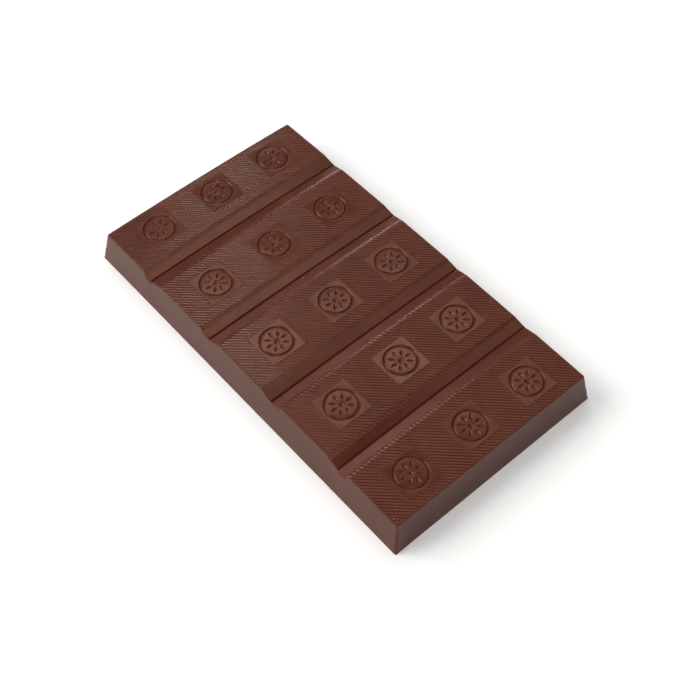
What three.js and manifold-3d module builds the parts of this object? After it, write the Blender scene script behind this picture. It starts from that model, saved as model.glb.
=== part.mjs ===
// A moulded tablet of chocolate: one drafted slab whose face is split by four V-shaped valleys into five strips.
// Each strip carries fine diagonal ribs and three smooth square fields, and each field a small engraved roundel.
// Millimetres. x runs across the tablet, y along it and z up, with the origin in the middle of the flat back.
import * as THREE from "three";
import { mergeVertices } from "three/addons/utils/BufferGeometryUtils.js";
import Module from "manifold-3d";

const wasm = await Module();
wasm.setup();

// The slab
const LENGTH = 120;
const WIDTH = 67;
const THICKNESS = 9.8; // at the ends, where the crown has run out
const CROWN_ALONG = 0.6; // how much thicker the tablet is in the middle of its length
const CROWN_ACROSS = 0.5; // the same in the middle of its width
const DRAFT = 1.8; // how far each wall leans in from the back to the face, so that the tablet leaves its mould
const CORNER_RADIUS = 0.4;
const CORNER_SIDES = 3;

// The strips
const STRIPS = 5;
const STRIP_PITCH = 25.1;
const STRIP_SHIFT = 0.2; // the relief sits this far towards +y of the slab
const VALLEY_WIDTH = 7.7;
const VALLEY_DEPTH = 1.15;
const CREASE_WIDTH = 0.36; // the sharp line along the bottom of each valley, where the tablet breaks
const CREASE_DEPTH = 0.25;

// The ribs: narrow lands with shallow V grooves between them, slanting across every strip in the same way
const RIB_PITCH = 0.803;
const RIB_SHIFT = 0.12; // how far the middle of a groove is from half a pitch off the strip's middle
const RIB_RUN = new THREE.Vector2(68, -64); // the way a rib runs, longer than from the middle to a corner
const GROOVE_WIDTH = 0.6;
const GROOVE_DEPTH = 0.13;

// The smooth fields
const FIELDS_ACROSS = 3;
const FIELD_PITCH = 19.75;
const FIELD_SIDE = 10.65;

// The roundel of a field: a ring, a wreath of pointed strokes inside it and a dimple in the middle
const RING_RADIUS = 4.3;
const RING_SIDES = 16;
const RING_GROOVE_WIDTH = 0.5;
const RING_GROOVE_DEPTH = 0.28;
const STROKES = 8;
const STROKE_RADIUS = 2.35; // to the middle of a stroke
const STROKE_LENGTH = 2.5;
const STROKE_WIDTH = 0.95;
const STROKE_DEPTH = 0.35;
const DIMPLE_RADIUS = 0.6;
const DIMPLE_DEPTH = 0.3;
const DIMPLE_SIDES = 6;

const CLEAR = 2; // how far a cutter reaches past what it cuts
const WELD = 1e-4; // vertices closer than this are one
const GRAIN = 1 / 4096; // a step that 32-bit numbers hold exactly at this size

function middles(count, pitch) {
  return Array.from({ length: count }, (_, i) => (i - (count - 1) / 2) * pitch);
}

const stripMiddles = middles(STRIPS, STRIP_PITCH).map((y) => y + STRIP_SHIFT);
const valleyMiddles = middles(STRIPS - 1, STRIP_PITCH).map((y) => y + STRIP_SHIFT);
const fieldMiddles = middles(FIELDS_ACROSS, FIELD_PITCH);

function solidOf(geometry) {
  geometry.deleteAttribute("normal");
  geometry.deleteAttribute("uv");
  const merged = mergeVertices(geometry, WELD);
  const mesh = new wasm.Mesh({
    numProp: 3,
    vertProperties: merged.attributes.position.array,
    triVerts: new Uint32Array(merged.index.array),
  });
  return new wasm.Manifold(mesh);
}

function geometryOf(solid) {
  const mesh = solid.getMesh();
  const geometry = new THREE.BufferGeometry();
  geometry.setAttribute("position", new THREE.BufferAttribute(mesh.vertProperties, mesh.numProp));
  geometry.setIndex(new THREE.BufferAttribute(mesh.triVerts, 1));
  return geometry;
}

// A rounded rectangle, drawn round its middle.
function roundedOutline(width, length, radius) {
  const shape = new THREE.Shape();
  const x = width / 2 - radius;
  const y = length / 2 - radius;
  shape.absarc(x, y, radius, 0, Math.PI / 2);
  shape.absarc(-x, y, radius, Math.PI / 2, Math.PI);
  shape.absarc(-x, -y, radius, Math.PI, 1.5 * Math.PI);
  shape.absarc(x, -y, radius, 1.5 * Math.PI, 2 * Math.PI);
  return shape;
}

// The plain slab: the back's outline drawn up to the face, which is narrower by the draft on every side.
// While the relief is cut, the face lies at z = 0 and the back below it.
function slab() {
  const geometry = new THREE.ExtrudeGeometry(roundedOutline(WIDTH, LENGTH, CORNER_RADIUS), {
    depth: THICKNESS,
    bevelEnabled: false,
    curveSegments: CORNER_SIDES,
  });
  const position = geometry.attributes.position;
  for (let i = 0; i < position.count; i++) {
    if (position.getZ(i) === 0) {
      position.setZ(i, -THICKNESS);
    } else {
      const x = position.getX(i) * (1 - (2 * DRAFT) / WIDTH);
      const y = position.getY(i) * (1 - (2 * DRAFT) / LENGTH);
      position.setXYZ(i, x, y, 0);
    }
  }
  return solidOf(geometry);
}

// One long V, open upwards, that cuts the valley between two strips right across the face, with its crease.
function valleyCutter(y) {
  const slope = VALLEY_DEPTH / (VALLEY_WIDTH / 2);
  const halfWidth = VALLEY_WIDTH / 2 + CLEAR / slope;
  const creaseTop = (slope * CREASE_WIDTH) / 2 - VALLEY_DEPTH;
  const shape = new THREE.Shape();
  shape.moveTo(0, -VALLEY_DEPTH - CREASE_DEPTH);
  shape.lineTo(CREASE_WIDTH / 2, creaseTop);
  shape.lineTo(halfWidth, CLEAR);
  shape.lineTo(-halfWidth, CLEAR);
  shape.lineTo(-CREASE_WIDTH / 2, creaseTop);
  shape.closePath();
  const geometry = new THREE.ExtrudeGeometry(shape, { depth: WIDTH, bevelEnabled: false });
  geometry.rotateX(Math.PI / 2);
  geometry.rotateZ(Math.PI / 2);
  geometry.translate(-WIDTH / 2, y, 0);
  return solidOf(geometry);
}

// A comb whose teeth are all the rib grooves round the middle of a strip, and more to every side.
// The teeth meet in their spine, a little above the face.
// Both ends of a groove are the same points moved by whole millimetres, which keeps its flanks truly flat.
function ribComb() {
  const halfTeeth = Math.ceil(RIB_RUN.length() / RIB_PITCH);
  const rootHeight = GROOVE_DEPTH * (RIB_PITCH / GROOVE_WIDTH - 1);
  const end = halfTeeth * RIB_PITCH;
  const shape = new THREE.Shape();
  shape.moveTo(-end, CLEAR);
  for (let i = -halfTeeth; i < halfTeeth; i++) {
    const middle = (i + 0.5) * RIB_PITCH + RIB_SHIFT;
    shape.lineTo(middle - RIB_PITCH / 2, rootHeight);
    shape.lineTo(middle - GROOVE_WIDTH / 2, 0);
    shape.lineTo(middle, -GROOVE_DEPTH);
    shape.lineTo(middle + GROOVE_WIDTH / 2, 0);
  }
  shape.lineTo(end, rootHeight);
  shape.lineTo(end, CLEAR);
  shape.closePath();
  const geometry = new THREE.ExtrudeGeometry(shape, { depth: 1, bevelEnabled: false });
  const across = new THREE.Vector2(-RIB_RUN.y, RIB_RUN.x).normalize();
  const position = geometry.attributes.position;
  for (let i = 0; i < position.count; i++) {
    const offset = across.clone().multiplyScalar(position.getX(i) / GRAIN).round().multiplyScalar(GRAIN);
    const place = position.getZ(i) === 0 ? offset.sub(RIB_RUN) : offset.add(RIB_RUN);
    position.setXYZ(i, place.x, place.y, position.getY(i));
  }
  return solidOf(geometry);
}

// The space over one strip, which its comb keeps to, because every strip starts its ribs afresh.
function stripReach() {
  return solidOf(new THREE.BoxGeometry(WIDTH, STRIP_PITCH, 3 * CLEAR));
}

// The block of air over a smooth field, which the comb leaves alone.
function fieldGuard(x) {
  const geometry = new THREE.BoxGeometry(FIELD_SIDE, FIELD_SIDE, 2 * CLEAR);
  geometry.translate(x, 0, 0);
  return solidOf(geometry);
}

// A ring-shaped V groove, which is carried as far above the face as it goes below it.
function ringCutter() {
  const points = [
    new THREE.Vector2(RING_RADIUS, -RING_GROOVE_DEPTH),
    new THREE.Vector2(RING_RADIUS + RING_GROOVE_WIDTH / 2, 0),
    new THREE.Vector2(RING_RADIUS + RING_GROOVE_WIDTH, RING_GROOVE_DEPTH),
    new THREE.Vector2(RING_RADIUS - RING_GROOVE_WIDTH, RING_GROOVE_DEPTH),
    new THREE.Vector2(RING_RADIUS - RING_GROOVE_WIDTH / 2, 0),
    new THREE.Vector2(RING_RADIUS, -RING_GROOVE_DEPTH),
  ];
  const geometry = new THREE.LatheGeometry(points, RING_SIDES);
  geometry.rotateX(Math.PI / 2);
  return solidOf(geometry);
}

// A short stroke, pointed at both ends and deepest in the middle, that points away from the roundel's middle.
function strokeCutter(angle) {
  const geometry = new THREE.OctahedronGeometry(1);
  geometry.scale(STROKE_LENGTH / 2, STROKE_WIDTH / 2, STROKE_DEPTH);
  geometry.translate(STROKE_RADIUS, 0, 0);
  geometry.rotateZ(angle);
  return solidOf(geometry);
}

function dimpleCutter() {
  const geometry = new THREE.ConeGeometry(2 * DIMPLE_RADIUS, 2 * DIMPLE_DEPTH, DIMPLE_SIDES);
  geometry.rotateX(-Math.PI / 2);
  return solidOf(geometry);
}

// Everything that is cut out of a field to leave its roundel, round the middle of the field.
function roundelCutter() {
  let cutter = ringCutter().add(dimpleCutter());
  for (let i = 0; i < STROKES; i++) {
    cutter = cutter.add(strokeCutter((2 * Math.PI * i) / STROKES));
  }
  return cutter;
}

// Sets the back at z = 0 and raises the middle of the face: every height grows by the crown's share there.
function crown(geometry) {
  const position = geometry.attributes.position;
  for (let i = 0; i < position.count; i++) {
    const along = 1 - (position.getY(i) / (LENGTH / 2)) ** 2;
    const across = 1 - (position.getX(i) / (WIDTH / 2)) ** 2;
    const growth = (CROWN_ALONG * along + CROWN_ACROSS * across) / THICKNESS;
    position.setZ(i, (position.getZ(i) + THICKNESS) * (1 + growth));
  }
}

function tablet() {
  let solid = slab();
  for (const y of valleyMiddles) {
    solid = solid.subtract(valleyCutter(y));
  }
  const roundel = roundelCutter();
  let comb = ribComb().intersect(stripReach());
  for (const x of fieldMiddles) {
    comb = comb.subtract(fieldGuard(x));
  }
  for (const y of stripMiddles) {
    for (const x of fieldMiddles) {
      solid = solid.subtract(roundel.translate([x, y, 0]));
    }
    solid = solid.subtract(comb.translate([0, y, 0]));
  }
  const geometry = geometryOf(solid);
  crown(geometry);
  geometry.computeVertexNormals();
  return geometry;
}

const chocolate = new THREE.MeshStandardMaterial({
  color: 0x623528,
  roughness: 0.42,
  metalness: 0,
  flatShading: true,
});

const bar = new THREE.Mesh(tablet(), chocolate);
bar.name = "bar";

const chocolateBar = new THREE.Group();
chocolateBar.add(bar);

export default chocolateBar;
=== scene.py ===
import math

import bmesh
import bpy
import numpy as np
from mathutils import Euler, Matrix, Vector
from mathutils.geometry import delaunay_2d_cdt


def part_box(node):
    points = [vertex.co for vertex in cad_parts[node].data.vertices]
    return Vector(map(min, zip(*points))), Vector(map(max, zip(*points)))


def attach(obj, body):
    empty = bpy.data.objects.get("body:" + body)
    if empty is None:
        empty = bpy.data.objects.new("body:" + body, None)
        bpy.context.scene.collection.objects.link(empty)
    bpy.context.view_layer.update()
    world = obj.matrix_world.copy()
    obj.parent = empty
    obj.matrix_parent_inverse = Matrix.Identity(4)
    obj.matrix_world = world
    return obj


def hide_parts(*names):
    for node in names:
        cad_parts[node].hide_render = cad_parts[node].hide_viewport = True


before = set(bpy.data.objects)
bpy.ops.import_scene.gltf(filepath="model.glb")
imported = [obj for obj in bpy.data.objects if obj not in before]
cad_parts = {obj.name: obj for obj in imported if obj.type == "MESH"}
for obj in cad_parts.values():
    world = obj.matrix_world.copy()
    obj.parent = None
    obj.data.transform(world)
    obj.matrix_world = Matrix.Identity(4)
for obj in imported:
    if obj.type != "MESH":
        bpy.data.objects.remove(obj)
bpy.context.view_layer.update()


# ----------------------------------------------------------------------------------------------------
# The camera looks down over the tablet's near left corner, so that the strips run away to the back.
# It stands a third of a metre away and has a short telephoto lens.
# ----------------------------------------------------------------------------------------------------
MM = 0.001
CAMERA_AIM = Vector((-2.53, -4.19, 0.0)) * MM
CAMERA_DISTANCE = 333.0 * MM
CAMERA_AZIMUTH = -130.65  # in degrees, as the next two
CAMERA_ELEVATION = 54.93
CAMERA_ROLL = -0.40
SENSOR_WIDTH = 36.0
LENS = 66.68


def look_at(thing, aim, distance, azimuth, elevation, roll=0.0):
    """Puts a camera or lamp at a distance from the point aimed at, and turns it to face that point."""
    azimuth, elevation, roll = (math.radians(angle) for angle in (azimuth, elevation, roll))
    away = Vector((
        math.cos(elevation) * math.cos(azimuth),
        math.cos(elevation) * math.sin(azimuth),
        math.sin(elevation),
    ))
    thing.location = aim + away * distance
    turn = (-away).to_track_quat("-Z", "Y").to_matrix()
    thing.rotation_euler = (turn @ Euler((0.0, 0.0, roll)).to_matrix()).to_euler()


camera = bpy.data.objects.new("camera", bpy.data.cameras.new("camera"))
camera.data.sensor_width = SENSOR_WIDTH
camera.data.lens = LENS
camera.data.clip_start = 10.0 * MM
look_at(camera, CAMERA_AIM, CAMERA_DISTANCE, CAMERA_AZIMUTH, CAMERA_ELEVATION, CAMERA_ROLL)
bpy.context.scene.collection.objects.link(camera)
bpy.context.scene.camera = camera


# ----------------------------------------------------------------------------------------------------
# The tablet: tempered chocolate, cast in one piece in a polished mould and knocked out of it.
# Its face and walls are one height field over the back's outline, drawn finely enough for every rib to
# be a smooth wave. The back is the poured side, nearly flat. All sizes here are millimetres.
# ----------------------------------------------------------------------------------------------------
low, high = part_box("bar")
WIDTH = (high[0] - low[0]) / MM
LENGTH = (high[1] - low[1]) / MM
CROWN_ALONG = 0.6  # how much thicker the tablet is in the middle of its length
CROWN_ACROSS = 0.5  # the same in the middle of its width
END_HEIGHT = (high[2] - low[2]) / MM - CROWN_ALONG - CROWN_ACROSS
DRAFT = 1.8  # how far each wall leans in from the back to the face
CORNER_RADIUS = 0.4
RIM_RADIUS = 0.32  # the rounding between the face and a wall
RIM_SOFT = 0.3  # how far in from the rim the ribs are rubbed down
FOOT = 0.12  # how far the back's edge is rounded up

STRIPS = 5
STRIP_PITCH = 25.1
STRIP_SHIFT = 0.2  # the relief sits this far towards +y of the slab
VALLEY_WIDTH = 7.7
VALLEY_DEPTH = 1.15
SHOULDER = 0.07  # how softly a valley leaves the flat
CREASE_WIDTH = 0.36
CREASE_DEPTH = 0.25

RIB_PITCH = 0.803
RIB_SHIFT = 0.12
RIB_NORMAL = np.array([64.0, 68.0]) / math.hypot(64.0, 68.0)
RIB_DEPTH = 0.15
RIB_LEAN = 0.12  # how far a trough is past the middle of its pitch, as a share of it
RUN_OUT = 1.3  # how far a trough runs out down the slope of a valley

FIELDS_ACROSS = 3
FIELD_PITCH = 19.75
FIELD_SIDE = 10.65
TROUGH_END = 0.07  # half the length over which a trough stops at a field

RING_RADIUS = 4.3
RING_GROOVE_WIDTH = 0.5
RING_GROOVE_DEPTH = 0.28
STROKES = 8
STROKE_RADIUS = 2.35  # to the middle of a stroke
STROKE_LENGTH = 2.5
STROKE_WIDTH = 0.95
STROKE_DEPTH = 0.35
STROKE_TAPER = 1.3  # the power by which a stroke narrows to its points
STROKE_SOFT = 0.12  # how softly a stroke's flanks leave the field, as a share of its depth
DIMPLE_RADIUS = 0.6
DIMPLE_DEPTH = 0.3
BELL_SPREAD = 0.42  # the spread of a rounded V, as a share of its width


def middles(count, pitch):
    return (np.arange(count) - (count - 1) / 2) * pitch


strip_middles = middles(STRIPS, STRIP_PITCH) + STRIP_SHIFT
valley_middles = middles(STRIPS - 1, STRIP_PITCH) + STRIP_SHIFT
field_middles = middles(FIELDS_ACROSS, FIELD_PITCH)


def nearest(values, places):
    """For each value, the place that it is nearest to."""
    return places[np.argmin(np.abs(values[..., None] - places), axis=-1)]


def smooth(share):
    """Eases a share of 0 to 1 in and out."""
    return share**2 * (3 - 2 * share)


def bell(distance, width):
    """A rounded V of the given width: 1 in its middle and 0 well away from it."""
    return np.exp(-((distance / (BELL_SPREAD * width)) ** 2))


def inset(x, y):
    """How far a place is in from the back's outline, whose corners keep one radius all the way up."""
    side = WIDTH / 2 - np.abs(x)
    end = LENGTH / 2 - np.abs(y)
    lean = np.minimum(np.abs(side - end) / CORNER_RADIUS, 1.0)
    return np.minimum(side, end) - CORNER_RADIUS * (1 - (lean + np.sqrt(2 - lean**2)) / 2)


def valley_cut(y):
    """How deep the valleys go: straight slopes with soft shoulders, and a narrow crease at the bottom."""
    off = np.abs(y - nearest(y, valley_middles))
    slope = VALLEY_DEPTH * (1 - off / (VALLEY_WIDTH / 2))
    soft = np.maximum(SHOULDER - np.abs(slope), 0.0) ** 2 / (4 * SHOULDER)
    return np.maximum(slope, 0.0) + soft + CREASE_DEPTH * bell(off, CREASE_WIDTH)


def rib_cut(x, y):
    """How deep the rounded troughs between the ribs go. They start afresh on every strip, leave the
    fields smooth and run out down the slopes of the valleys."""
    place = nearest(y, strip_middles)
    across = (x * RIB_NORMAL[0] + (y - place) * RIB_NORMAL[1] - RIB_SHIFT) / RIB_PITCH
    phase = across - np.floor(across)
    trough = 0.5 + RIB_LEAN
    wave = np.where(phase < trough, phase / trough, 1 + (phase - trough) / (1 - trough))
    field_side = np.maximum(np.abs(x - nearest(x, field_middles)), np.abs(y - place)) - FIELD_SIDE / 2
    off_field = smooth(np.clip((field_side + TROUGH_END) / (2 * TROUGH_END), 0.0, 1.0))
    down_slope = VALLEY_WIDTH / 2 - np.abs(y - nearest(y, valley_middles))
    off_valley = smooth(np.clip(1 - down_slope / RUN_OUT, 0.0, 1.0))
    off_rim = np.clip((inset(x, y) - DRAFT) / RIM_SOFT, 0.0, 1.0)
    return RIB_DEPTH * (0.5 - 0.5 * np.cos(math.pi * wave)) * off_field * off_valley * off_rim


def roundel_cut(x, y):
    """How deep the roundel of the nearest field goes: a ring, a wreath of pointed strokes and a dimple."""
    across = x - nearest(x, field_middles)
    along = y - nearest(y, strip_middles)
    radius = np.hypot(across, along)
    turn = 2 * math.pi / STROKES
    angle = np.arctan2(along, across)
    angle = angle - turn * np.round(angle / turn)
    on = (radius * np.cos(angle) - STROKE_RADIUS) / (STROKE_LENGTH / 2)
    off = np.abs(radius * np.sin(angle)) / (STROKE_WIDTH / 2)
    flank = np.maximum(1 - np.abs(on) ** STROKE_TAPER - off, 0.0)
    stroke = np.where(flank > STROKE_SOFT, flank - STROKE_SOFT / 2, flank**2 / (2 * STROKE_SOFT))
    ring = RING_GROOVE_DEPTH * bell(radius - RING_RADIUS, RING_GROOVE_WIDTH)
    dimple = DIMPLE_DEPTH * bell(radius, 2 * DIMPLE_RADIUS)
    return np.maximum(np.maximum(ring, dimple), STROKE_DEPTH * stroke)


def height(x, y):
    """The height of the face or wall over a place of the plan, with the rim between them rounded."""
    steep = END_HEIGHT / DRAFT
    face = END_HEIGHT - valley_cut(y) - rib_cut(x, y) - roundel_cut(x, y)
    past = inset(x, y) - (face - FOOT) / steep
    reach = RIM_RADIUS * math.tan(math.atan(steep) / 2)
    fall = np.clip(reach - past, 0.0, RIM_RADIUS)
    round_off = RIM_RADIUS - np.sqrt(RIM_RADIUS**2 - fall**2)
    on_wall = past < -reach * math.cos(math.atan(steep))
    z = np.where(on_wall, face + steep * past, face - round_off)
    growth = CROWN_ALONG * (1 - (y / (LENGTH / 2)) ** 2) + CROWN_ACROSS * (1 - (x / (WIDTH / 2)) ** 2)
    return z * (1 + growth / END_HEIGHT)


SNAP = 1e-5  # points of the plan that are closer than this are one


class Plan:
    """The points and the lines of the plan that the triangles have to keep to."""

    def __init__(self):
        self.points = []
        self.lines = []

    def line(self, x, y, closed=False):
        first = len(self.points)
        self.points.extend(zip(x, y))
        count = len(self.points) - first
        self.lines.extend((first + i, first + i + 1) for i in range(count - 1))
        if closed:
            self.lines.append((first + count - 1, first))

    def triangles(self):
        points = [Vector(point) for point in self.points]
        out = delaunay_2d_cdt(points, self.lines, [], 0, SNAP)
        return np.array(out[0]), np.array(out[2])


OUTLINE_STEP = 0.6
CORNER_SIDES = 6


def outline():
    """The back's outline as points about a step apart, with rounded corners."""
    x, y = WIDTH / 2 - CORNER_RADIUS, LENGTH / 2 - CORNER_RADIUS
    points = []
    for quarter, (sx, sy) in enumerate(((1, 1), (-1, 1), (-1, -1), (1, -1))):
        start = quarter * math.pi / 2
        for angle in np.linspace(start, start + math.pi / 2, CORNER_SIDES + 1):
            turn = np.array([math.cos(angle), math.sin(angle)])
            points.append(np.array([sx * x, sy * y]) + CORNER_RADIUS * turn)
    points = np.array(points)
    dense = []
    for here, there in zip(points, np.roll(points, -1, axis=0)):
        count = max(1, round(math.dist(here, there) / OUTLINE_STEP))
        dense.extend(here + (there - here) * i / count for i in range(count))
    return np.array(dense)


def rim_row(past):
    """A closed row round the tablet, a set way in from the rim, that dips with the rim at the valleys."""
    edge = outline()
    deep = DRAFT * (END_HEIGHT - valley_cut(edge[:, 1])) / END_HEIGHT + past
    return edge * (1 - deep[:, None] / np.array([WIDTH / 2, LENGTH / 2]))


# The rows that the triangles keep to: how far each is in from the rim, from the middle of a valley or of
# a rib's pitch, from the ring and from the dimple's middle. A stroke's are shares of half its width.
RIM_ROWS = (-1.1, -0.4, -0.08, -0.02, 0.05, 0.13, 0.21, 0.29, 0.5)
VALLEY_ROWS = (0.0, 0.07, 0.15, 0.25, 0.5, 1.8, 3.1, 3.6, 3.85, 4.1)
RIB_ROWS = tuple(RIB_PITCH * share / 7 for share in range(-3, 4))
RING_ROWS = (-0.48, -0.26, -0.12, 0.0, 0.12, 0.26, 0.48)
DIMPLE_ROWS = (0.15, 0.3, 0.5, 0.75, 1.05)
STROKE_ROWS = (-1.2, -0.85, -0.45, 0.0, 0.45, 0.85, 1.2)
VALLEY_POINTS = 60
RIB_STEP = 1.75
RIB_SHORTEST = 0.1
RING_POINTS = 60
DIMPLE_POINTS = 15
STROKE_POINTS = 11
STROKE_END = 0.97  # how far a stroke's rows go towards its points, as a share
SIDE_OVERLAP = 0.1  # how far the rows on the face go past the rim at the sides
END_OVERLAP = 0.08  # the same at the ends
FIELD_OVERLAP = 0.1  # how far the rows of the ribs go into a field


def face_plan():
    plan = Plan()
    edge = outline()
    plan.line(edge[:, 0], edge[:, 1], closed=True)
    for past in RIM_ROWS:
        row = rim_row(past)
        plan.line(row[:, 0], row[:, 1], closed=True)
    reach = WIDTH / 2 - DRAFT + SIDE_OVERLAP
    x = np.linspace(-reach, reach, VALLEY_POINTS)
    for middle in valley_middles:
        for off in VALLEY_ROWS:
            for side in (-1, 1) if off else (1,):
                plan.line(x, np.full_like(x, middle + side * off))
    for place in strip_middles:
        rib_lines(plan, place, reach)
        for middle in field_middles:
            field_lines(plan, middle, place)
    return plan


def rib_lines(plan, place, reach):
    """The lines along every trough of one strip, left out where the smooth fields are."""
    run = np.array([-RIB_NORMAL[1], RIB_NORMAL[0]])

    def stretch(start, axis, middle, half):
        """Where along a line one of its coordinates lies within half a width of a middle."""
        return sorted((start[axis] - middle + side * half) / -run[axis] for side in (-1, 1))

    flat = (STRIP_PITCH - VALLEY_WIDTH) / 2
    longest = int(math.hypot(reach, flat) / RIB_PITCH) + 2
    bottom = max(place - flat - RUN_OUT, -LENGTH / 2 + DRAFT - END_OVERLAP)
    top = min(place + flat + RUN_OUT, LENGTH / 2 - DRAFT + END_OVERLAP)
    for count in range(-longest, longest + 1):
        for off in RIB_ROWS:
            start = RIB_NORMAL * ((count + 0.5) * RIB_PITCH + RIB_SHIFT + off) + np.array([0.0, place])
            along = sorted((start[1] - y) / -run[1] for y in (bottom, top))
            across = stretch(start, 0, 0.0, reach)
            first, last = max(along[0], across[0]), min(along[1], across[1])
            if last - first < RIB_SHORTEST:
                continue
            marks = [first, last]
            for middle in field_middles:
                half = FIELD_SIDE / 2 - FIELD_OVERLAP
                across, along = stretch(start, 0, middle, half), stretch(start, 1, place, half)
                enter, leave = max(across[0], along[0]), min(across[1], along[1])
                if leave > enter and enter < last and leave > first:
                    marks.extend((enter, leave))
            marks.sort()
            for begin, end in zip(marks[::2], marks[1::2]):
                begin, end = max(begin, first), min(end, last)
                if end - begin > RIB_SHORTEST / 2:
                    steps = np.linspace(begin, end, max(2, round((end - begin) / RIB_STEP) + 1))
                    plan.line(start[0] + run[0] * steps, start[1] + run[1] * steps)


def circle_line(plan, middle, place, radius, turns):
    plan.line(middle + radius * np.cos(turns), place + radius * np.sin(turns), closed=True)


def field_lines(plan, middle, place):
    """The border of one smooth field and the rows of its roundel."""
    for past in (-TROUGH_END, 0.0, TROUGH_END):
        half = FIELD_SIDE / 2 + past
        corners = np.array([(-half, -half), (half, -half), (half, half), (-half, half)])
        plan.line(corners[:, 0] + middle, corners[:, 1] + place, closed=True)
    turns = np.linspace(0, 2 * math.pi, RING_POINTS, endpoint=False)
    for off in RING_ROWS:
        circle_line(plan, middle, place, RING_RADIUS + off, turns)
    for radius in DIMPLE_ROWS:
        circle_line(plan, middle, place, radius, turns[::RING_POINTS // DIMPLE_POINTS])
    on = np.linspace(-STROKE_END, STROKE_END, STROKE_POINTS)
    for count in range(STROKES):
        angle = 2 * math.pi * count / STROKES
        for row in STROKE_ROWS:
            along = STROKE_RADIUS + on * STROKE_LENGTH / 2
            across = row * STROKE_WIDTH / 2 * (1 - np.abs(on) ** STROKE_TAPER)
            x = along * math.cos(angle) - across * math.sin(angle)
            y = along * math.sin(angle) + across * math.cos(angle)
            plan.line(middle + x, place + y)


BACK_WAVE = 0.05  # the poured back isn't quite flat
BACK_STEP = 2.4
BACK_CLEAR = 1.0  # how near to the outline the even points of the back may come
BACK_ROWS = (0.1, 0.2, 0.3, 0.45)  # how far each is in from the outline
EDGE_WIDTH = 0.4  # how far in the back's edge is rounded
PIT_COUNT = 26
PIT_RADIUS = (0.25, 0.8)
PIT_DEPTH = 0.22  # as a share of its radius
PIT_REACH = 0.46  # how far from the middle a pit may be, as a share of the tablet's size
PIT_ROWS = (0.4, 0.8, 1.2, 1.8)  # as shares of the pit's radius
PIT_POINTS = 12

rng = np.random.default_rng(7)
pit_places = rng.uniform(-PIT_REACH, PIT_REACH, (PIT_COUNT, 2)) * np.array([WIDTH, LENGTH])
pit_radii = rng.uniform(*PIT_RADIUS, PIT_COUNT)


def back_height(x, y):
    """The poured back: faint waves, the pits of burst bubbles and a slightly rounded edge."""
    across = np.sin(x / 7.3 + np.sin(y / 11.0))
    along = np.sin(y / 8.9 + 1.3 * np.sin(x / 13.0))
    z = BACK_WAVE * (0.5 + 0.25 * across + 0.25 * along)
    for place, radius in zip(pit_places, pit_radii):
        away = np.hypot(x - place[0], y - place[1]) / radius
        z = z + PIT_DEPTH * radius * np.exp(-(away**2))
    edge = np.clip(1 - inset(x, y) / EDGE_WIDTH, 0.0, 1.0)
    return z * (1 - edge) + FOOT * edge**2


def back_plan():
    plan = Plan()
    edge = outline()
    plan.line(edge[:, 0], edge[:, 1], closed=True)
    for deep in BACK_ROWS:
        row = edge * (1 - deep / np.array([WIDTH / 2, LENGTH / 2]))
        plan.line(row[:, 0], row[:, 1], closed=True)
    for x in np.arange(-WIDTH / 2 + BACK_STEP, WIDTH / 2 - BACK_CLEAR, BACK_STEP):
        for y in np.arange(-LENGTH / 2 + BACK_STEP, LENGTH / 2 - BACK_CLEAR, BACK_STEP):
            plan.points.append((x, y))
    turns = np.linspace(0, 2 * math.pi, PIT_POINTS, endpoint=False)
    for place, radius in zip(pit_places, pit_radii):
        for share in PIT_ROWS:
            ring = place + share * radius * np.stack((np.cos(turns), np.sin(turns)), axis=-1)
            plan.points.extend(map(tuple, ring))
    return plan


def upward(surface, points):
    """The upward normals of a height field, from its rise over a very short step."""
    step = 0.012
    x, y = points[:, 0], points[:, 1]
    rise_x = (surface(x + step, y) - surface(x - step, y)) / (2 * step)
    rise_y = (surface(x, y + step) - surface(x, y - step)) / (2 * step)
    normals = np.stack((-rise_x, -rise_y, np.ones_like(x)), axis=-1)
    return normals / np.linalg.norm(normals, axis=1, keepdims=True)


RUBBED_MIDDLE = 0.12  # where the rim is rubbed most, measured in from its line
RUBBED_WIDTH = 0.35  # how far to either side the rubbing fades


def rim_share(x, y):
    """1 along the rounded rim between the face and the walls, and 0 a little way from it."""
    past = inset(x, y) - DRAFT * (1 - valley_cut(y) / END_HEIGHT)
    return np.clip(1 - np.abs(past - RUBBED_MIDDLE) / RUBBED_WIDTH, 0.0, 1.0)


def tablet_mesh():
    """The face and walls, and the back, sewn together along the outline that they share."""
    edge_count = len(outline())
    face_points, face_triangles = face_plan().triangles()
    back_points, back_triangles = back_plan().triangles()
    top = np.column_stack((face_points, height(face_points[:, 0], face_points[:, 1])))
    under = np.column_stack((back_points, back_height(back_points[:, 0], back_points[:, 1])))
    joined = np.arange(len(under)) + len(top)
    joined[:edge_count] = np.arange(edge_count)
    vertices = np.concatenate((top, under))
    triangles = np.concatenate((face_triangles, joined[back_triangles][:, ::-1]))
    used = np.unique(triangles)
    place = np.zeros(len(vertices), int)
    place[used] = np.arange(len(used))
    mesh = bpy.data.meshes.new("tablet")
    mesh.from_pydata((vertices[used] * MM).tolist(), [], place[triangles].tolist())
    mesh.shade_smooth()
    normals = np.concatenate((upward(height, face_points), -upward(back_height, back_points)))
    # A known fault: this line mirrors the lean of the back's normals, so that its pits are shaded as bumps.
    # Without it the back is shaded rightly.
    normals[len(top):, :2] *= -1
    mesh.normals_split_custom_set_from_vertices(normals[used].tolist())
    rim = np.zeros(len(vertices))
    rim[:len(top)] = rim_share(face_points[:, 0], face_points[:, 1])
    mesh.attributes.new("rim", "FLOAT", "POINT").data.foreach_set("value", rim[used].astype(np.float32))
    return mesh


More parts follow.
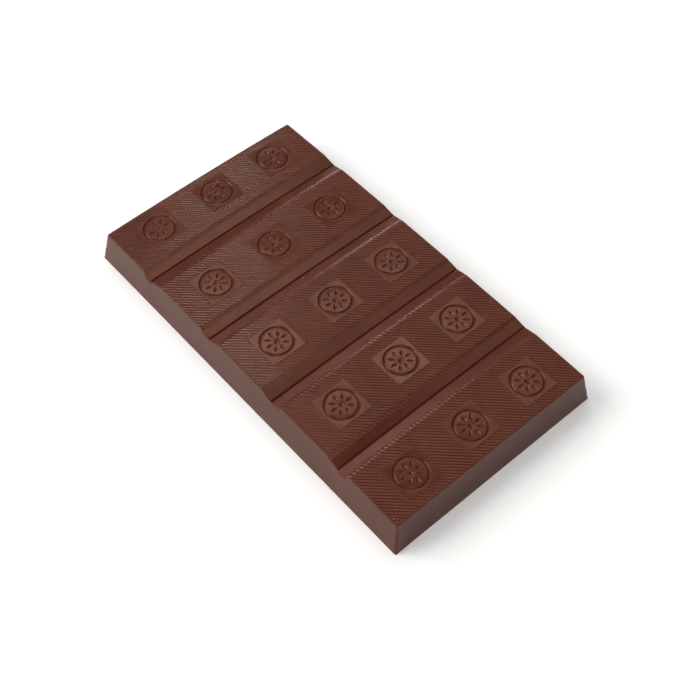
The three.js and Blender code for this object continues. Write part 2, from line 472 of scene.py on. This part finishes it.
DARK_BROWN = (0.069, 0.0143, 0.0080)
PALE_BROWN = (0.083, 0.0178, 0.0100)
RUBBED_BROWN = (0.092, 0.0240, 0.0125)  # where the skin is rubbed off the rim
RUBBED_SHARE = (0.1, 1.0)
ROUGHNESS = (0.18, 0.22)
GLOSS_LEVEL = 0.305
GLOSS_TINT = (1.0, 0.67, 0.49)
MOTTLE_SIZE = 9.0 * MM
RIPPLE_SIZE = 3.2 * MM
RIPPLE_HEIGHT = 0.006 * MM
GRAIN_SIZE = 0.30 * MM
GRAIN_HEIGHT = 0.004 * MM


def noise(nodes, links, place, size, detail):
    """A noise texture of a real size, in the part's own frame."""
    texture = nodes.new("ShaderNodeTexNoise")
    texture.inputs["Scale"].default_value = 1.0 / size
    texture.inputs["Detail"].default_value = detail
    links.new(place, texture.inputs["Vector"])
    return texture.outputs["Fac"]


def spread(nodes, links, value, low, high, start=0.35, end=0.65):
    """Spreads a value between start and end over the range from low to high. The usual two suit a noise."""
    span = nodes.new("ShaderNodeMapRange")
    span.inputs["From Min"].default_value = start
    span.inputs["From Max"].default_value = end
    span.inputs["To Min"].default_value = low
    span.inputs["To Max"].default_value = high
    links.new(value, span.inputs["Value"])
    return span.outputs["Result"]


def blend(nodes, links, share, first, second):
    """Mixes two colours, either of which may be a socket."""
    mix = nodes.new("ShaderNodeMix")
    mix.data_type = "RGBA"
    links.new(share, mix.inputs["Factor"])
    for name, colour in (("A", first), ("B", second)):
        socket = next(s for s in mix.inputs if s.name == name and s.type == "RGBA")
        if isinstance(colour, tuple):
            socket.default_value = (*colour, 1.0)
        else:
            links.new(colour, socket)
    return next(s for s in mix.outputs if s.type == "RGBA")


def times(nodes, links, first, second):
    product = nodes.new("ShaderNodeMath")
    product.operation = "MULTIPLY"
    links.new(first, product.inputs[0])
    links.new(second, product.inputs[1])
    return product.outputs["Value"]


def bump(nodes, links, relief, size, before=None):
    """Raises the surface by up to size along its normal, on top of an earlier bump."""
    raised = nodes.new("ShaderNodeBump")
    raised.inputs["Distance"].default_value = size
    links.new(relief, raised.inputs["Height"])
    if before is not None:
        links.new(before, raised.inputs["Normal"])
    return raised.outputs["Normal"]


def chocolate_material():
    """Tempered chocolate: a satin skin, faintly mottled, finely grained and rubbed paler along the rim."""
    material = bpy.data.materials.new("chocolate")
    material.use_nodes = True
    nodes, links = material.node_tree.nodes, material.node_tree.links
    shader = nodes["Principled BSDF"]
    place = nodes.new("ShaderNodeTexCoord").outputs["Object"]
    mottle = noise(nodes, links, place, MOTTLE_SIZE, 4.0)
    grain = noise(nodes, links, place, GRAIN_SIZE, 3.0)
    ripple = noise(nodes, links, place, RIPPLE_SIZE, 2.0)
    rim = nodes.new("ShaderNodeAttribute")
    rim.attribute_name = "rim"
    rubbed = times(nodes, links, rim.outputs["Fac"], spread(nodes, links, mottle, *RUBBED_SHARE))
    brown = blend(nodes, links, spread(nodes, links, mottle, 0.0, 1.0), DARK_BROWN, PALE_BROWN)
    links.new(blend(nodes, links, rubbed, brown, RUBBED_BROWN), shader.inputs["Base Color"])
    links.new(spread(nodes, links, ripple, *ROUGHNESS), shader.inputs["Roughness"])
    shader.inputs["IOR"].default_value = 1.5
    shader.inputs["Specular IOR Level"].default_value = GLOSS_LEVEL
    shader.inputs["Specular Tint"].default_value = (*GLOSS_TINT, 1.0)
    wavy = bump(nodes, links, ripple, RIPPLE_HEIGHT)
    links.new(bump(nodes, links, grain, GRAIN_HEIGHT, wavy), shader.inputs["Normal"])
    return material


tablet = bpy.data.objects.new("tablet", tablet_mesh())
tablet.data.materials.append(chocolate_material())
bpy.context.scene.collection.objects.link(tablet)
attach(tablet, "root")
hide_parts("bar")


# ----------------------------------------------------------------------------------------------------
# Crumbs: a few specks of dry chocolate, broken from the rim and left lying on the face, and finer dust.
# Each is a small lump, pressed a little into what it lies on. Sizes are millimetres.
# ----------------------------------------------------------------------------------------------------
CRUMB_PLACES = (
    (-31.4, 26.7), (-31.3, 24.5), (-31.4, -4.6), (-31.4, -6.6), (-31.0, -57.3), (-30.9, -56.1),
    (27.9, -21.3), (30.1, -26.6), (29.8, -29.7), (29.2, -30.6), (-1.3, 11.8), (-26.9, 18.8),
)
CRUMB_RADIUS = (0.10, 0.20)
CRUMB_RISE = 0.3  # how far a lump's middle is above the face, as a share of its radius
CRUMB_LUMPS = 0.3  # how uneven a lump is, as a share of its radius
CRUMB_STRETCH = ((0.8, 1.5), (0.7, 1.1), (0.5, 0.8))
CRUMB_COLOUR = (0.36, 0.19, 0.12)
CRUMB_MOTTLE = 0.4 * MM
CRUMB_ROUGHNESS = 0.6
DUST_COUNT = 46
DUST_RADIUS = (0.04, 0.09)
DUST_INSET = 2.2  # how far in from the outline the dust stays


def crumb_mesh():
    """Every crumb and fleck of dust as a lumpy little ball, all in one mesh."""
    rng = np.random.default_rng(11)
    room = np.array([WIDTH - 2 * DUST_INSET, LENGTH - 2 * DUST_INSET])
    places = np.concatenate((np.array(CRUMB_PLACES), rng.uniform(-0.5, 0.5, (DUST_COUNT, 2)) * room))
    big = rng.uniform(*CRUMB_RADIUS, len(CRUMB_PLACES))
    radii = np.concatenate((big, rng.uniform(*DUST_RADIUS, DUST_COUNT)))
    heights = height(places[:, 0], places[:, 1])
    ball = bmesh.new()
    bmesh.ops.create_icosphere(ball, subdivisions=2, radius=1.0)
    unit = np.array([vertex.co for vertex in ball.verts])
    triangles = np.array([[vertex.index for vertex in face.verts] for face in ball.faces])
    ball.free()
    vertices, polygons = [], []
    for place, z, radius in zip(places, heights, radii):
        lumps = 1 + rng.uniform(-CRUMB_LUMPS, CRUMB_LUMPS, (len(unit), 1))
        stretch = np.array([rng.uniform(*shares) for shares in CRUMB_STRETCH])
        turn = rng.uniform(0, 2 * math.pi)
        spin = np.array([
            [math.cos(turn), -math.sin(turn), 0],
            [math.sin(turn), math.cos(turn), 0],
            [0, 0, 1],
        ])
        lump = (unit * lumps * stretch) @ spin.T * radius
        polygons.extend((triangles + len(vertices)).tolist())
        vertices.extend((lump + np.array([place[0], place[1], z + CRUMB_RISE * radius])).tolist())
    mesh = bpy.data.meshes.new("crumbs")
    mesh.from_pydata((np.array(vertices) * MM).tolist(), [], polygons)
    mesh.shade_smooth()
    return mesh


def crumb_material():
    """Broken chocolate: dry, matt and pale, a little different from lump to lump."""
    material = bpy.data.materials.new("crumb")
    material.use_nodes = True
    nodes, links = material.node_tree.nodes, material.node_tree.links
    shader = nodes["Principled BSDF"]
    place = nodes.new("ShaderNodeTexCoord").outputs["Object"]
    tone = spread(nodes, links, noise(nodes, links, place, CRUMB_MOTTLE, 2.0), 0.0, 1.0)
    links.new(blend(nodes, links, tone, RUBBED_BROWN, CRUMB_COLOUR), shader.inputs["Base Color"])
    shader.inputs["Roughness"].default_value = CRUMB_ROUGHNESS
    return material


crumbs = bpy.data.objects.new("crumbs", crumb_mesh())
crumbs.data.materials.append(crumb_material())
bpy.context.scene.collection.objects.link(crumbs)
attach(crumbs, "root")


# ----------------------------------------------------------------------------------------------------
# The table: a plain sheet of warm white paper, faintly lit from below as on a light table, so that the
# shadow on it stays pale. It isn't part of the tablet.
# ----------------------------------------------------------------------------------------------------
FLOOR_SIDE = 8000.0 * MM
PAPER_WHITE = (0.92, 0.908, 0.888, 1.0)
PAPER_ROUGHNESS = 0.9
PAPER_GLOW = 0.06

bpy.ops.mesh.primitive_plane_add(size=FLOOR_SIDE)
floor = bpy.context.object
floor.name = "floor"
paper = bpy.data.materials.new("paper")
paper.use_nodes = True
paper_shader = paper.node_tree.nodes["Principled BSDF"]
paper_shader.inputs["Base Color"].default_value = PAPER_WHITE
paper_shader.inputs["Roughness"].default_value = PAPER_ROUGHNESS
paper_shader.inputs["Emission Color"].default_value = (1.0, 1.0, 1.0, 1.0)
paper_shader.inputs["Emission Strength"].default_value = PAPER_GLOW
floor.data.materials.append(paper)


# ----------------------------------------------------------------------------------------------------
# The light of a small studio: soft white lamps 3 m from the tablet, which leave glints on the flanks
# of the ribs, in a dim room that is pale low down all round.
# ----------------------------------------------------------------------------------------------------
LAMP_DISTANCE = 3000.0 * MM
ROOM_GLOW = 0.03
HORIZON_GLOW = 0.7
HORIZON_RISE = (0.02, 0.08)  # where the pale band starts to fade and where it ends, as sines of angles


def softbox(name, azimuth, elevation, wide, tall, glow):
    """A soft lamp. Its place and the angles it spans are in degrees, and glow is how bright its face is."""
    lamp = bpy.data.objects.new(name, bpy.data.lights.new(name, "AREA"))
    sides = [2 * LAMP_DISTANCE * math.tan(math.radians(angle) / 2) for angle in (wide, tall)]
    lamp.data.shape = "RECTANGLE"
    lamp.data.size, lamp.data.size_y = sides
    lamp.data.energy = glow * math.pi * sides[0] * sides[1]
    lamp.visible_camera = False
    look_at(lamp, Vector((0.0, 0.0, 0.0)), LAMP_DISTANCE, azimuth, elevation)
    bpy.context.scene.collection.objects.link(lamp)


softbox("key", 135, 40, 40, 30, 6.9)
softbox("front", 234, 57, 30, 12, 5.6)
softbox("front_top", 216, 82, 16, 8, 6.5)
softbox("top_left", 180, 77, 16, 8, 5.4)
softbox("top_right", 0, 72, 16, 16, 3.2)
softbox("right", 342, 57, 30, 12, 1.4)
softbox("back", 79, 27, 30, 12, 1.35)
softbox("strip", 54, 57, 16, 8, 4.2)
softbox("strip_right", 33, 52, 16, 16, 2.2)
softbox("strip_back", 72, 57, 16, 16, 1.8)
softbox("glint", 55.5, 9, 6, 8, 15.0)
softbox("glint_high", 62, 37, 16, 8, 4.6)

world = bpy.data.worlds.new("studio")
world.use_nodes = True
nodes, links = world.node_tree.nodes, world.node_tree.links
room = nodes["Background"]
room.inputs["Color"].default_value = (1.0, 1.0, 1.0, 1.0)
rise = nodes.new("ShaderNodeSeparateXYZ")
links.new(nodes.new("ShaderNodeTexCoord").outputs["Generated"], rise.inputs["Vector"])
glow = spread(nodes, links, rise.outputs["Z"], HORIZON_GLOW, ROOM_GLOW, *HORIZON_RISE)
links.new(glow, room.inputs["Strength"])
bpy.context.scene.world = world
bpy.context.scene.view_settings.view_transform = "Standard"
